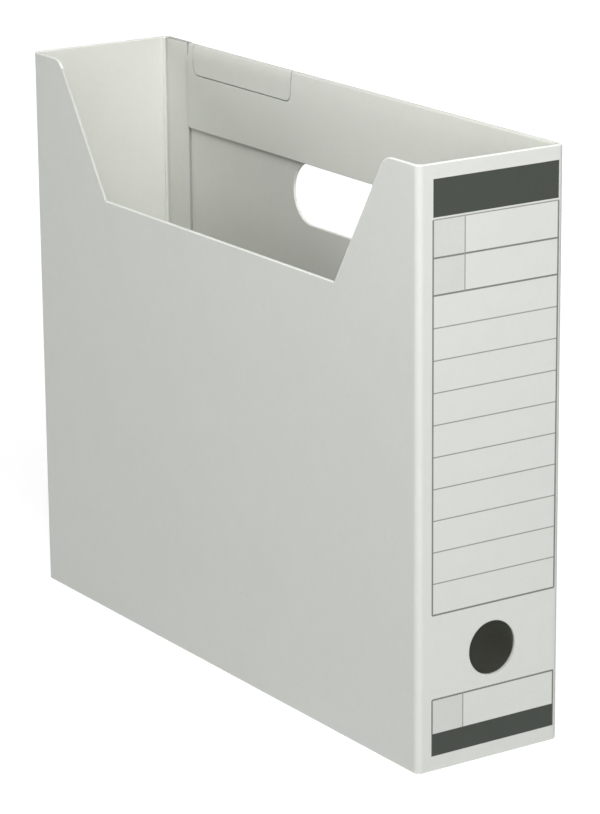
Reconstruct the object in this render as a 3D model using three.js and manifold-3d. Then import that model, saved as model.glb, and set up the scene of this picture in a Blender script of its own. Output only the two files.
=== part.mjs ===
// File box folded from one sheet of grey board: four upright panels, a hem folded
// down inside the tall side, and a hinged bottom with three tuck flaps.
// Millimetres, +Z up. The spine faces -Y and the side with the low cut-out faces -X.
import * as THREE from 'three';
import { mergeVertices } from 'three/addons/utils/BufferGeometryUtils.js';
import Module from 'manifold-3d';

// Box, over its outer faces
const boxWidth = 75;
const boxLength = 316;
const boxHeight = 264;

// Board and creases
const board = 1.2;
const cornerRadius = 3;
const glueLine = 0.05;
const creaseGap = 0.1;
const slipGap = 0.5;

// Low cut-out of the near side, measured down from the top and in from the two ends
const cutDepth = 60.8;
const cutFrontTopInset = 24;
const cutFrontBottomInset = 61.2;
const cutBackTopInset = 24.5;
const cutBackBottomInset = 64.6;
const shoulderRadius = 9;

// Finger hole of the spine
const fingerHoleRadius = 12;
const fingerHoleHeight = 49.5;
const fingerHoleOffset = 1.6;

// Hand hole of the far side, its middle measured down from the top
const handHoleLength = 90;
const handHoleRadius = 14.7;
const handHoleDrop = 56;

// Hem folded down inside the far side, and the tab cut into it
const hemDepth = 41.5;
const hemGap = 0.2;
const hemFrontInset = 4;
const hemCornerRadius = 2.5;
const tabLength = 85;
const tabDepth = 14.5;
const tabBackMargin = 5.2;
const tabCornerRadius = 4;
const slitWidth = 0.35;

// Glue flap of the back end, inside the far side
const glueFlapWidth = 19.8;
const flapToHemGap = 0.6;
const flapCornerRadius = 1;

// Bottom panel and its tuck flaps
const swingGap = 1;
const tuckDepth = 11.5;
const tuckEndMargin = 2;
const tuckCornerRadius = 0.8;

// Facets
const holeSegments = 64;
const filletSegments = 8;

const boardColor = 0xd2d4cf;
const insideColor = 0xc4c7bf;

const quarterTurn = Math.PI / 2;
const halfTurn = Math.PI;
const halfWidth = boxWidth / 2;
const halfLength = boxLength / 2;
const panelEnd = halfLength - cornerRadius;
const farInnerFace = halfWidth - board;
const cutBottomHeight = boxHeight - cutDepth;
const handHoleHeight = boxHeight - handHoleDrop;

const wasm = await Module();
wasm.setup();

/** Turns a closed three.js geometry into a manifold solid. */
function toSolid(geometry) {
  const plain = geometry.clone();
  plain.deleteAttribute('normal');
  plain.deleteAttribute('uv');
  const merged = mergeVertices(plain);
  return new wasm.Manifold(new wasm.Mesh({
    numProp: 3,
    vertProperties: new Float32Array(merged.attributes.position.array),
    triVerts: new Uint32Array(merged.index.array),
  }));
}

/** Turns a manifold solid back into a three.js geometry with flat normals. */
function toGeometry(solid) {
  const mesh = solid.getMesh();
  const geometry = new THREE.BufferGeometry();
  geometry.setAttribute('position', new THREE.BufferAttribute(mesh.vertProperties, mesh.numProp));
  geometry.setIndex(new THREE.BufferAttribute(mesh.triVerts, 1));
  const faceted = geometry.toNonIndexed();
  faceted.computeVertexNormals();
  return faceted;
}

/** Cuts every cutter away from a body. */
function cutAway(body, cutters) {
  let solid = toSolid(body);
  for (const cutter of cutters) {
    solid = solid.subtract(toSolid(cutter));
  }
  return toGeometry(solid);
}

/** Draws a closed outline, with a fillet at each corner that states a radius. */
function roundedOutline(corners) {
  const outline = new THREE.Shape();
  corners.forEach(([x, y, radius], index) => {
    const corner = new THREE.Vector2(x, y);
    const before = new THREE.Vector2(...corners.at(index - 1));
    const after = new THREE.Vector2(...corners[(index + 1) % corners.length]);
    const back = before.sub(corner).normalize();
    const ahead = after.sub(corner).normalize();
    const halfAngle = Math.acos(back.dot(ahead)) / 2;
    const reach = radius / Math.tan(halfAngle);
    const start = corner.clone().addScaledVector(back, reach);
    const end = corner.clone().addScaledVector(ahead, reach);
    if (index === 0) {
      outline.moveTo(start.x, start.y);
    } else {
      outline.lineTo(start.x, start.y);
    }
    if (radius > 0) {
      const middle = back.clone().add(ahead).normalize();
      const centre = corner.clone().addScaledVector(middle, radius / Math.sin(halfAngle));
      const startAngle = start.clone().sub(centre).angle();
      const endAngle = end.clone().sub(centre).angle();
      const clockwise = back.cross(ahead) > 0;
      outline.absarc(centre.x, centre.y, radius, startAngle, endAngle, clockwise);
    }
  });
  outline.closePath();
  return outline;
}

/** Extrudes an outline by one thickness of board. */
function sheetOf(outline, depth = board) {
  return new THREE.ExtrudeGeometry(outline, {
    depth,
    bevelEnabled: false,
    curveSegments: filletSegments,
  });
}

/** Makes a named mesh with its own board material. */
function pieceOf(name, geometry, color = boardColor) {
  const material = new THREE.MeshStandardMaterial({ color, roughness: 0.9, metalness: 0 });
  material.name = name;
  const mesh = new THREE.Mesh(geometry, material);
  mesh.name = name;
  return mesh;
}

/** Stands a sheet up along the length: drawn x runs along +Y, drawn y is up, depth along +X. */
function standAlongLength(mesh, x) {
  mesh.rotation.set(quarterTurn, 0, quarterTurn, 'ZYX');
  mesh.position.x = x;
  return mesh;
}

/** Stands a sheet up across the width: drawn x runs along +X, drawn y is up, depth along -Y. */
function standAcrossWidth(mesh, y) {
  mesh.rotation.x = quarterTurn;
  mesh.position.y = y;
  return mesh;
}

/** End wall in plan: outer face on y = 0, with a rounded fold at each end turning to +y. */
function foldedWallOutline(xLeft, xRight) {
  const innerRadius = cornerRadius - board;
  const left = xLeft + cornerRadius;
  const right = xRight - cornerRadius;
  const outline = new THREE.Shape();
  outline.moveTo(xLeft, cornerRadius);
  outline.absarc(left, cornerRadius, cornerRadius, halfTurn, halfTurn + quarterTurn, false);
  outline.absarc(right, cornerRadius, cornerRadius, -quarterTurn, 0, false);
  outline.lineTo(xRight - board, cornerRadius);
  outline.absarc(right, cornerRadius, innerRadius, 0, -quarterTurn, true);
  outline.absarc(left, cornerRadius, innerRadius, -quarterTurn, -halfTurn, true);
  outline.closePath();
  return outline;
}

/** Sliver that rounds one top edge of a sheet drawn like standAlongLength, over yStart to yEnd. */
function edgeRounder(yStart, yEnd, outerIsFar) {
  const outer = outerIsFar ? board : 0;
  const inner = board - outer;
  const outline = new THREE.Shape();
  outline.moveTo(outer, 0);
  outline.lineTo(outer, board);
  outline.lineTo(inner, board);
  outline.quadraticCurveTo(outer, board, outer, 0);
  outline.closePath();
  const sliver = new THREE.ExtrudeGeometry(outline, {
    depth: yEnd - yStart,
    bevelEnabled: false,
    curveSegments: filletSegments,
  });
  const drawnToSheet = new THREE.Matrix4().makeBasis(
    new THREE.Vector3(0, 0, 1),
    new THREE.Vector3(0, 1, 0),
    new THREE.Vector3(-1, 0, 0),
  );
  sliver.applyMatrix4(drawnToSheet);
  sliver.translate(yEnd, 0, 0);
  return sliver;
}

/** Spine: the narrow front wall with the finger hole and both front folds. */
function spinePanel() {
  const wall = sheetOf(foldedWallOutline(-halfWidth, halfWidth), boxHeight);
  const drill = new THREE.CylinderGeometry(
    fingerHoleRadius,
    fingerHoleRadius,
    cornerRadius * 2,
    holeSegments,
  );
  drill.translate(fingerHoleOffset, 0, fingerHoleHeight);
  const mesh = pieceOf('spine_panel', cutAway(wall, [drill]));
  mesh.position.y = -halfLength;
  return mesh;
}

/** Back end: the narrow rear wall with both rear folds, the far one inside the far side. */
function backEndPanel() {
  const flapOuterFace = farInnerFace - glueLine;
  const wall = sheetOf(foldedWallOutline(-flapOuterFace, halfWidth), boxHeight);
  const mesh = pieceOf('back_end_panel', wall);
  mesh.rotation.z = halfTurn;
  mesh.position.y = halfLength;
  return mesh;
}

/** Near side: the flat wall with the low cut-out between two shoulders. */
function nearSidePanel() {
  const outline = roundedOutline([
    [-panelEnd, 0, 0],
    [panelEnd, 0, 0],
    [panelEnd, boxHeight, 0],
    [halfLength - cutBackTopInset, boxHeight, shoulderRadius],
    [halfLength - cutBackBottomInset, cutBottomHeight, 0],
    [cutFrontBottomInset - halfLength, cutBottomHeight, 0],
    [cutFrontTopInset - halfLength, boxHeight, shoulderRadius],
    [-panelEnd, boxHeight, 0],
  ]);
  return standAlongLength(pieceOf('near_side_panel', sheetOf(outline)), -halfWidth);
}

/** Hand hole outline, rounded at both ends. */
function handHoleOutline() {
  const armEnd = handHoleLength / 2 - handHoleRadius;
  const hole = new THREE.Path();
  hole.absarc(armEnd, handHoleHeight, handHoleRadius, -quarterTurn, quarterTurn, false);
  hole.absarc(-armEnd, handHoleHeight, handHoleRadius, quarterTurn, halfTurn + quarterTurn, false);
  hole.closePath();
  return hole;
}

const hemBackEnd = panelEnd - glueFlapWidth - flapToHemGap;
const hemFrontEnd = hemFrontInset - halfLength;
const bottomTop = board + creaseGap;

/** Far side: the flat tall wall with the hand hole, rounded on top where the hem folds over. */
function farSidePanel() {
  const outline = roundedOutline([
    [-panelEnd, bottomTop, 0],
    [panelEnd, bottomTop, 0],
    [panelEnd, boxHeight, 0],
    [-panelEnd, boxHeight, 0],
  ]);
  outline.holes.push(handHoleOutline());
  const rounder = edgeRounder(hemFrontEnd, hemBackEnd, true);
  rounder.translate(0, boxHeight - board, 0);
  const sheet = new THREE.ExtrudeGeometry(outline, {
    depth: board,
    bevelEnabled: false,
    curveSegments: holeSegments / 4,
  });
  return standAlongLength(pieceOf('far_side_panel', cutAway(sheet, [rounder])), farInnerFace);
}

/** Glue flap: the strip that turns in from the back end and is glued inside the far side. */
function glueFlap() {
  const flapEnd = panelEnd - glueFlapWidth;
  const outline = roundedOutline([
    [flapEnd, bottomTop, flapCornerRadius],
    [panelEnd, bottomTop, 0],
    [panelEnd, boxHeight, 0],
    [flapEnd, boxHeight, flapCornerRadius],
  ]);
  const mesh = pieceOf('glue_flap', sheetOf(outline), insideColor);
  return standAlongLength(mesh, farInnerFace - glueLine - board);
}

/** Tab outline, hanging from the fold line at drawn y = 0. */
function tabOutline(start, end, depth, radius) {
  return roundedOutline([
    [start, 0, 0],
    [start, -depth, radius],
    [end, -depth, radius],
    [end, 0, 0],
  ]);
}

/** Hem with its tab, both hanging from the fold line along the top of the far side. */
function hemAssembly() {
  const tabEnd = hemBackEnd - tabBackMargin;
  const tabStart = tabEnd - tabLength;
  const hemX = farInnerFace - hemGap - board;
  const outline = roundedOutline([
    [hemFrontEnd, 0, 0],
    [hemFrontEnd, -hemDepth, hemCornerRadius],
    [hemBackEnd, -hemDepth, hemCornerRadius],
    [hemBackEnd, 0, 0],
    [tabEnd + slitWidth, 0, 0],
    [tabEnd + slitWidth, -tabDepth - slitWidth, tabCornerRadius + slitWidth],
    [tabStart - slitWidth, -tabDepth - slitWidth, tabCornerRadius + slitWidth],
    [tabStart - slitWidth, 0, 0],
  ]);
  const hemRounder = edgeRounder(hemFrontEnd - board, hemBackEnd + board, false);
  hemRounder.translate(0, -board, 0);
  const hem = pieceOf('top_hem', cutAway(sheetOf(outline), [hemRounder]), insideColor);

  const tabSheet = sheetOf(tabOutline(tabStart, tabEnd, tabDepth, tabCornerRadius));
  const tab = pieceOf('hem_tab', cutAway(tabSheet, [hemRounder]), insideColor);

  const group = new THREE.Group();
  group.name = 'hem_assembly';
  group.position.z = boxHeight;
  group.add(standAlongLength(hem, hemX), standAlongLength(tab, hemX));
  return group;
}

/** Tuck flap outline on its fold line at drawn y = 0, with 45 degree ends. */
function tuckOutline(start, end) {
  return roundedOutline([
    [start, 0, 0],
    [end, 0, 0],
    [end - tuckDepth, tuckDepth, tuckCornerRadius],
    [start + tuckDepth, tuckDepth, tuckCornerRadius],
  ]);
}

/** Bottom: the panel creased to the foot of the far side, and its three tuck flaps. */
function bottomAssembly() {
  const nearEdge = swingGap + board - halfWidth;
  const farEdge = farInnerFace - board - slipGap;
  const endEdge = halfLength - board - slipGap;
  const creaseEnd = panelEnd - slipGap;
  const outline = roundedOutline([
    [nearEdge, cornerRadius - endEdge, 0],
    [nearEdge + cornerRadius, -endEdge, 0],
    [farEdge - cornerRadius, -endEdge, 0],
    [farEdge, -creaseEnd, 0],
    [halfWidth, -creaseEnd, 0],
    [halfWidth, creaseEnd, 0],
    [farEdge, creaseEnd, 0],
    [farEdge - cornerRadius, endEdge, 0],
    [nearEdge + cornerRadius, endEdge, 0],
    [nearEdge, endEdge - cornerRadius, 0],
  ]);
  const panel = pieceOf('bottom_panel', sheetOf(outline));

  const margin = board + tuckEndMargin;
  const nearFlap = pieceOf(
    'bottom_flap_near',
    sheetOf(tuckOutline(margin - endEdge, endEdge - margin)),
    insideColor,
  );
  standAlongLength(nearFlap, nearEdge);
  nearFlap.position.z = bottomTop;

  const endFlaps = [
    ['bottom_flap_front', board - endEdge],
    ['bottom_flap_back', endEdge],
  ].map(([name, y]) => {
    const outlineAcross = tuckOutline(nearEdge + margin, farEdge - margin);
    const flap = pieceOf(name, sheetOf(outlineAcross), insideColor);
    standAcrossWidth(flap, y);
    flap.position.z = bottomTop;
    return flap;
  });

  const group = new THREE.Group();
  group.name = 'bottom_assembly';
  group.add(panel, nearFlap, ...endFlaps);
  return group;
}

const fileBox = new THREE.Group();
fileBox.name = 'file_box';
fileBox.add(
  spinePanel(),
  backEndPanel(),
  nearSidePanel(),
  farSidePanel(),
  glueFlap(),
  hemAssembly(),
  bottomAssembly(),
);

export default fileBox;
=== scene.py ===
"""Looks of a grey board file box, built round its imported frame.

Every panel and flap of the box is a sheet of board: a flat outline, cut out of the
sheet, given its thickness and rounded cut edges, and then folded into its place.
Sizes are in millimetres, in the frame of the part: +Z up, the spine facing -Y and
the side with the low cut-out facing -X. Meshes are written in metres.
"""

import logging
import math
from dataclasses import dataclass, field, replace
from enum import Enum, IntEnum
from typing import Callable, Sequence

import bpy
import numpy as np
from mathutils import Matrix, Vector
from mathutils.geometry import delaunay_2d_cdt


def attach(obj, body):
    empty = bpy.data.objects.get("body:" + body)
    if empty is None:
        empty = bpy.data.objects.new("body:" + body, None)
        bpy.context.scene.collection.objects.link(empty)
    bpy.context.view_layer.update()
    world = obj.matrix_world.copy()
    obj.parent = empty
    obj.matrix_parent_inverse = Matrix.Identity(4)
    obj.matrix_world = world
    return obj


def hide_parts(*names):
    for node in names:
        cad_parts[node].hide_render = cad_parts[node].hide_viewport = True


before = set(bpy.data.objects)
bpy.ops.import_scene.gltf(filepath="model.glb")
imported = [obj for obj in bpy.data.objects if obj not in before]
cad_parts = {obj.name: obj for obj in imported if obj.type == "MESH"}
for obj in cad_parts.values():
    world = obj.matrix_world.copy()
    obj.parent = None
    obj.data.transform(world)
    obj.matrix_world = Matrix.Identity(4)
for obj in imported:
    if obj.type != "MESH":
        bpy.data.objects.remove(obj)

log = logging.getLogger("file_box")

MM = 0.001
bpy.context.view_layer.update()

# The box over its outer faces, and the board it is folded from
WIDTH = 75.0
LENGTH = 316.0
HEIGHT = 264.0
BOARD = 1.2
FOLD_RADIUS = 3.0
GLUE_LINE = 0.05
CREASE_GAP = 0.1
EDGE_ROUNDING = 0.16

HALF_WIDTH = WIDTH / 2
HALF_LENGTH = LENGTH / 2
PANEL_END = HALF_LENGTH - FOLD_RADIUS
FAR_INNER = HALF_WIDTH - BOARD
FLAP_FOOT = BOARD + CREASE_GAP
QUARTER = math.pi / 2

# Steps that an upright fold, and the quarter circle of a crease, are divided into
FOLD_STEPS = 16
CREASE_STEPS = 5

# Below these a length in mm or a share of a side, and a bend in radians, count as none
TINY = 1e-6
STRAIGHT = 1e-3

# Digits to which shares of a side, and places in mm, count as the same
SHARE_DIGITS = 9
PLACE_DIGITS = 4

WHITE = (1, 1, 1, 1)

Array = np.ndarray
Placing = Callable[[Array, Array, Array], Array]
Lean = Callable[[Array, Array], Array]
Marking = Callable[[Array], Array]


class Skin(IntEnum):
    """Material slots of a board sheet, in slot order."""

    OUTSIDE = 0
    INSIDE = 1
    # Lighter than the board's faces: partly the board's own lighter core, partly a painted highlight
    # on edges that catch the light.
    CUT_EDGE = 2
    # A darker copy of the cut edge colour for edges that lie in shade: painted shade.
    SHADED_EDGE = 3
    DARK_INK = 4
    LINE_INK = 5
    THIN_INK = 6
    TINT_INK = 7
    HEM_FACE = 8
    # The darkest copy of the cut edge colour: painted shade for the dark line along the glue flap's
    # free edge.
    DEEP_EDGE = 9
    # A darker copy of the cut edge colour for the back slope of the cut-out: painted shade.
    SLANTED_EDGE = 10


class Border(Enum):
    """How one side of a sheet's outline ends."""

    CUT = "cut"
    JOINED = "joined"


# Outlines


def single(values: Array) -> Array:
    """Rounds values to the single precision that a mesh keeps."""
    return values.astype(np.float32).astype(float)


@dataclass(frozen=True)
class Corner:
    """A corner of an outline and the side that leaves it.

    Attributes:
        u: place along the sheet, mm.
        v: place up the sheet, mm.
        radius: radius of the rounded corner, mm.
        border: how the side from this corner to the next one ends.
        skin: skin of that side's edge.
    """

    u: float
    v: float
    radius: float = 0.3
    border: Border = Border.CUT
    skin: Skin = Skin.CUT_EDGE


@dataclass
class Loop:
    """A closed outline as arrays, with a side's two ends kept apart where it turns sharply.

    Attributes:
        points: n places on the flat sheet.
        outward: n unit normals in the sheet, pointing off the board.
        inset: n steps that move the outline in by one edge rounding.
        skin: n skins, each of the side that leaves a point.
    """

    points: Array
    outward: Array
    inset: Array
    skin: Array

    @staticmethod
    def from_corners(corners: Sequence[Corner], rounding: float, steps: int = 6) -> "Loop":
        """Rounds the corners and works out the normals and insets.

        A corner of radius r between two unit directions is replaced by an arc that
        starts and ends r tan(half the bend between them) away from the corner. The
        inset at a point is the step d for which d . n = -rounding for the normals n
        of both sides that meet there, or 0 for a joined side.

        Args:
            corners: the outline, anticlockwise round board and clockwise round a hole.
            rounding: width of the rounded cut edge, mm.
            steps: parts that each rounded corner is divided into.

        Returns:
            The finished loop.
        """
        places = np.array([[c.u, c.v] for c in corners])
        ahead = np.roll(places, -1, axis=0) - places
        ahead /= np.linalg.norm(ahead, axis=1, keepdims=True)
        normals = np.stack([ahead[:, 1], -ahead[:, 0]], axis=1)
        points, outward, inset, skin = [], [], [], []
        for i, corner in enumerate(corners):
            before, after = normals[i - 1], normals[i]
            cut_before = corners[i - 1].border is Border.CUT
            cut_after = corner.border is Border.CUT
            turn = float(np.cross(ahead[i - 1], ahead[i]))
            bend = math.atan2(turn, float(ahead[i - 1] @ ahead[i]))
            if corner.radius > 0 and cut_before and cut_after and abs(bend) > STRAIGHT:
                reach = corner.radius * math.tan(abs(bend) / 2)
                centre = places[i] - ahead[i - 1] * reach - before * corner.radius * np.sign(bend)
                first = math.atan2(before[1], before[0])
                angles = first + bend * np.linspace(0, 1, steps + 1)
                arc = np.stack([np.cos(angles), np.sin(angles)], axis=1)
                points.extend(centre + arc * corner.radius * np.sign(bend))
                outward.extend(arc)
                inset.extend(-arc * rounding)
                skin.extend([int(corner.skin)] * (steps + 1))
                continue
            asked = -rounding * np.array([float(cut_before), float(cut_after)])
            if abs(bend) > STRAIGHT:
                step = np.linalg.solve(np.stack([before, after]), asked)
            else:
                step = after * asked[1]
            points.extend([places[i]] * 2)
            outward.extend([before, after])
            inset.extend([step] * 2)
            skin.extend([int(corner.skin)] * 2)
        return Loop(single(np.array(points)), np.array(outward), np.array(inset), np.array(skin))

    @staticmethod
    def circle(u: float, v: float, radius: float, rounding: float, steps: int = 72) -> "Loop":
        """Makes a clockwise round hole, its points at (u + r cos a, v - r sin a).

        Args:
            u: the middle's place along the sheet, mm.
            v: the middle's place up the sheet, mm.
            radius: radius of the hole, mm.
            rounding: width of its rounded cut edge, mm.
            steps: points round it.

        Returns:
            The finished loop.
        """
        angles = -np.linspace(0, 2 * math.pi, steps, endpoint=False)
        ring = np.stack([np.cos(angles), np.sin(angles)], axis=1)
        points = single(np.array([u, v]) + ring * radius)
        # The hole's cut edge takes the darker copy of the cut edge colour: painted shade.
        return Loop(points, -ring, ring * rounding, np.full(steps, int(Skin.SHADED_EDGE)))

    def divided(self, longest: float, breaks: tuple[Array, Array]) -> "Loop":
        """Splits long sides, and any side whose inset line crosses a fold line.

        Args:
            longest: greatest length that a side may keep, mm.
            breaks: values of u, and values of v, at which a side gets a point.

        Returns:
            A loop with more points.
        """
        stretches, skin = [], []
        for i in range(len(self.points)):
            j = (i + 1) % len(self.points)
            first, last = self.points[i] + self.inset[i], self.points[j] + self.inset[j]
            length = np.linalg.norm(self.points[j] - self.points[i])
            shares = np.linspace(0, 1, max(1, math.ceil(length / longest)) + 1)[:-1]
            for axis, values in enumerate(breaks):
                if values.size and abs(last[axis] - first[axis]) > TINY:
                    crossings = (values - first[axis]) / (last[axis] - first[axis])
                    inside = crossings[(crossings > TINY) & (crossings < 1 - TINY)]
                    shares = np.concatenate([shares, inside])
                    shares = np.unique(np.round(shares, SHARE_DIGITS))
            rows = (self.points, self.outward, self.inset)
            stretches.append([row[i] + (row[j] - row[i]) * shares[:, None] for row in rows])
            skin.extend([self.skin[i]] * len(shares))
        points, outward, inset = (np.concatenate(parts) for parts in zip(*stretches))
        outward /= np.linalg.norm(outward, axis=1, keepdims=True)
        return Loop(single(points), outward, inset, np.array(skin))


def inside_loops(points: Array, loops: Sequence[Array]) -> Array:
    """Tells which points lie on the board, by counting how many sides a ray crosses.

    Args:
        points: n places on the flat sheet.
        loops: outlines, holes among them.

    Returns:
        n flags, true where the count is odd.
    """
    least_rise = 1e-12
    crossings = np.zeros(len(points), int)
    for loop in loops:
        a, b = loop, np.roll(loop, -1, axis=0)
        rising = (a[None, :, 1] > points[:, None, 1]) != (b[None, :, 1] > points[:, None, 1])
        rise = b[:, 1] - a[:, 1]
        rise = np.where(np.abs(rise) < least_rise, least_rise, rise)
        at = a[:, 0] + (points[:, None, 1] - a[:, 1]) * (b[:, 0] - a[:, 0]) / rise
        crossings += (rising & (points[:, None, 0] < at)).sum(axis=1)
    return crossings % 2 == 1


# Sheets of board


@dataclass
class BoardSheet:
    """One panel or flap, cut from board and folded into its place.

    The flat sheet has u along it and v up it. Its outer face is at depth 0 and its
    inner face at depth BOARD. place() takes (u, v, depth) to the folded place.

    Attributes:
        name: name of the finished piece.
        loops: the outline, then its holes, each with the width of its rounded edge.
        place: takes arrays of u, v and depth to places in mm.
        rounding: depth over which the cut edges are rounded, mm.
        columns: values of u at which the sheet bends.
        rows: values of v at which it bends.
        seams: pairs of flat places that the outer face's triangles must follow.
        marking: gives the outer face's skin from the middles of its triangles.
        spacing: distance between the points inside the sheet, mm.
        fold_clearance: least distance from a fold to another line of points, mm.
        rim_clearance: least distance from the outline to a point inside it, mm.
    """

    name: str
    loops: list[Loop]
    place: Placing
    rounding: float = EDGE_ROUNDING
    columns: Array = field(default_factory=lambda: np.zeros(0))
    rows: Array = field(default_factory=lambda: np.zeros(0))
    seams: Array = field(default_factory=lambda: np.zeros((0, 2, 2)))
    marking: Marking | None = None
    spacing: float = 9.0
    fold_clearance: float = 1.5
    rim_clearance: float = 1.0

    def _edge_rows(self) -> tuple[Array, Array, Array]:
        """Gives the rows of the cut edge, from the outer face to the inner one.

        Row angles run from 90 to 0 degrees, and again from 0 to -90. At angle a the
        edge is inset by 1 - cos a of its width, and lies 1 - |sin a| roundings below
        the nearer face.

        Returns:
            Insets as shares of the edge's width, depths in mm, and the angles.
        """
        quarter = np.array([90.0, 45.0, 0.0])
        angles = np.radians(np.concatenate([quarter, -quarter[::-1]]))
        insets = 1 - np.cos(angles)
        below = self.rounding * (1 - np.abs(np.sin(angles)))
        depths = np.where(np.arange(len(angles)) < len(quarter), below, BOARD - below)
        return insets, depths, angles

    def _axes(self, u: Array, v: Array, depth: Array) -> tuple[Array, Array, Array]:
        """Gives the folded sheet's own directions, from steps of a hundredth of a mm.

        Args:
            u: places along the sheet, mm.
            v: places up the sheet, mm.
            depth: depths below the outer face, mm.

        Returns:
            Unit vectors along u, along v, and off the outer face.
        """
        step = 0.01
        along = self.place(u + step, v, depth) - self.place(u - step, v, depth)
        up = self.place(u, v + step, depth) - self.place(u, v - step, depth)
        off = np.cross(along, up)
        return tuple(a / np.linalg.norm(a, axis=1, keepdims=True) for a in (along, up, off))

    def _grid(self, rim: list[Array]) -> Array:
        """Gives the points inside a face, on lines at an even spacing and on the folds.

        Args:
            rim: the face's own outlines.

        Returns:
            n flat places.
        """
        low, high = rim[0].min(axis=0), rim[0].max(axis=0)
        lines = []
        for axis, folds in enumerate((self.columns, self.rows)):
            steps = max(2, round((high[axis] - low[axis]) / self.spacing))
            values = np.linspace(low[axis], high[axis], steps + 1)[1:-1]
            if folds.size:
                clear = np.abs(values[:, None] - folds[None]).min(axis=1) > self.fold_clearance
                values = np.sort(np.concatenate([values[clear], folds]))
            lines.append(values)
        grid = np.stack(np.meshgrid(*lines, indexing="ij"), axis=-1).reshape(-1, 2)
        grid = grid[inside_loops(grid, rim)]
        gap = np.sqrt(((grid[:, None] - np.concatenate(rim)[None]) ** 2).sum(-1)).min(axis=1)
        return grid[gap > self.rim_clearance]

    def _face(self, rim: list[Array], seams: Array) -> tuple[Array, Array]:
        """Fills the flat face with triangles over a grid of points.

        Args:
            rim: the face's own outlines, inset from the loops.
            seams: pairs of places that the triangles must follow, besides the folds.

        Returns:
            Flat places, and triangles that turn anticlockwise.
        """
        low, high = rim[0].min(axis=0), rim[0].max(axis=0)
        columns = [[(u, low[1]), (u, high[1])] for u in self.columns if low[0] < u < high[0]]
        rows = [[(low[0], v), (high[0], v)] for v in self.rows if low[1] < v < high[1]]
        seams = np.concatenate([seams, np.array(columns + rows).reshape(-1, 2, 2)])
        points, links, start = [], [], 0
        for ring in rim:
            _, first = np.unique(ring, axis=0, return_index=True)
            ring = ring[np.sort(first)]
            ids = start + np.arange(len(ring))
            points.append(ring)
            links.append(np.stack([ids, np.roll(ids, -1)], axis=1))
            start += len(ring)
        if len(seams):
            points.append(seams.reshape(-1, 2))
            links.append(start + np.arange(2 * len(seams)).reshape(-1, 2))
        points.append(self._grid(rim))
        merging = 1e-5
        made = delaunay_2d_cdt(
            [Vector(p) for p in np.concatenate(points)],
            np.concatenate(links).tolist(), [], 0, merging, False,
        )
        places = np.array([tuple(p) for p in made[0]], float)
        triangles = np.array([f for f in made[2] if len(f) == 3], int)
        a, b, c = (places[triangles[:, k]] for k in range(3))
        area = np.cross(b - a, c - a)
        triangles = np.where(area[:, None] < 0, triangles[:, ::-1], triangles)
        sliver = 1e-7
        kept = inside_loops((a + b + c) / 3, rim) & (np.abs(area) > sliver)
        return places, triangles[kept]

    def build(self) -> bpy.types.Object:
        """Cuts, thickens, folds and shades the sheet.

        Returns:
            The new object, with its place in its mesh and its slots still empty.
        """
        places, normals, faces, skins, count = [], [], [], [], 0

        def add(flat: Array, level: float, lean: Array, rise: float) -> int:
            """Adds a set of folded points.

            Args:
                flat: their places on the flat sheet.
                level: their depth below the outer face, mm.
                lean: parts of their normals in the sheet.
                rise: part of their normals off the outer face.

            Returns:
                The number of the first one.
            """
            nonlocal count
            u, v, depth = flat[:, 0], flat[:, 1], np.full(len(flat), level)
            along, up, off = self._axes(u, v, depth)
            places.append(self.place(u, v, depth))
            normals.append(along * lean[:, :1] + up * lean[:, 1:] + off * rise)
            count += len(flat)
            return count - len(flat)

        loops = [loop.divided(self.spacing, (self.columns, self.rows)) for loop in self.loops]
        rim = [single(loop.points + loop.inset) for loop in loops]
        for side, level in ((1.0, 0.0), (-1.0, BOARD)):
            outer = side > 0
            flat, triangles = self._face(rim, self.seams if outer else self.seams[:0])
            base = add(flat, level, np.zeros_like(flat), side)
            faces.extend(((triangles if outer else triangles[:, ::-1]) + base).tolist())
            marks = np.full(len(triangles), int(Skin.OUTSIDE if outer else Skin.INSIDE))
            if outer and self.marking is not None:
                marks = self.marking(flat[triangles].mean(axis=1))
            skins.extend(marks.tolist())
        edge_rows = list(zip(*self._edge_rows()))
        for loop, face_rim in zip(loops, rim):
            starts = []
            for k, (inset, level, angle) in enumerate(edge_rows):
                on_face = k in (0, len(edge_rows) - 1)
                flat = face_rim if on_face else loop.points + loop.inset * inset
                starts.append(add(flat, level, loop.outward * math.cos(angle), math.sin(angle)))
            size = len(loop.points)
            steps = np.roll(loop.points, -1, axis=0) - loop.points
            i = np.arange(size)[np.linalg.norm(steps, axis=1) > TINY]
            j = (i + 1) % size
            for top, under in zip(starts[:-1], starts[1:]):
                faces.extend(np.stack([i + top, i + under, j + under, j + top], axis=1).tolist())
                skins.extend(loop.skin[i].tolist())
        return self._mesh(np.concatenate(places), np.concatenate(normals), faces, skins)

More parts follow.
